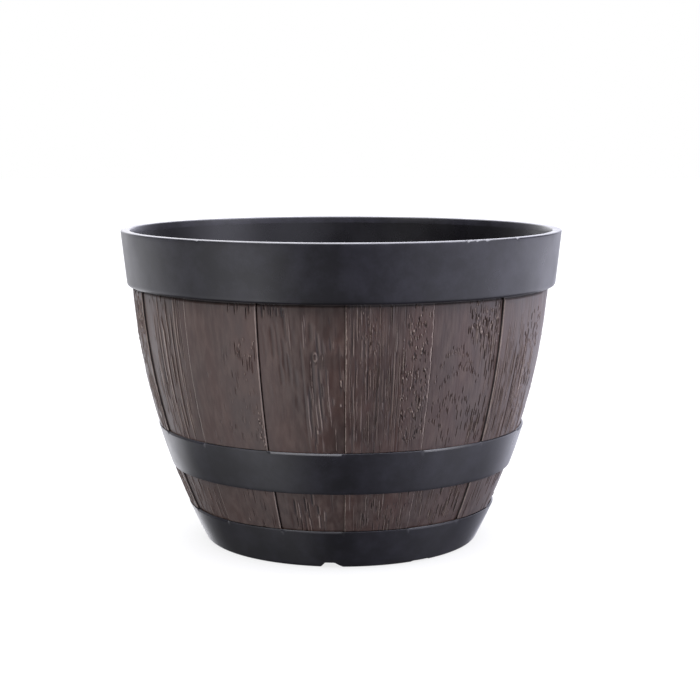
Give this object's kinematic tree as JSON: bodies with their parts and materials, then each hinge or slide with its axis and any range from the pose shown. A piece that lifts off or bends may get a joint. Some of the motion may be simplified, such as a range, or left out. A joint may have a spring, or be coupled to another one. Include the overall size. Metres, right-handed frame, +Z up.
{
  "type": "barrel planter",
  "caption": "Round tapered planter dressed as half a barrel, with wood-look staves between a deep dark rim band, a flat hoop and a foot band with drain notches.",
  "frame": {"origin": "centre of the foot's underside, on the surface the planter stands on", "axes": "+Z up along the planter's axis; -Y towards the front, where the foot's first deep notch is; +X to the right seen from the front"},
  "size_m": [0.225, 0.225, 0.16],
  "materials": {
    "black_plastic": "satin, smooth moulded",
    "stave_plastic": "wood-grain relief, wiped dark brown"
  },
  "bodies": {
    "root": {"inner_pot": "black_plastic", "rim_band": "black_plastic", "middle_hoop": "black_plastic", "foot_band": "black_plastic", "stave_01": "stave_plastic", "stave_02": "stave_plastic", "stave_03": "stave_plastic", "stave_04": "stave_plastic", "stave_05": "stave_plastic", "stave_06": "stave_plastic", "stave_07": "stave_plastic", "stave_08": "stave_plastic", "stave_09": "stave_plastic", "stave_10": "stave_plastic", "stave_11": "stave_plastic", "stave_12": "stave_plastic", "stave_13": "stave_plastic", "stave_14": "stave_plastic", "stave_15": "stave_plastic", "stave_16": "stave_plastic"}
  },
  "joints": []
}
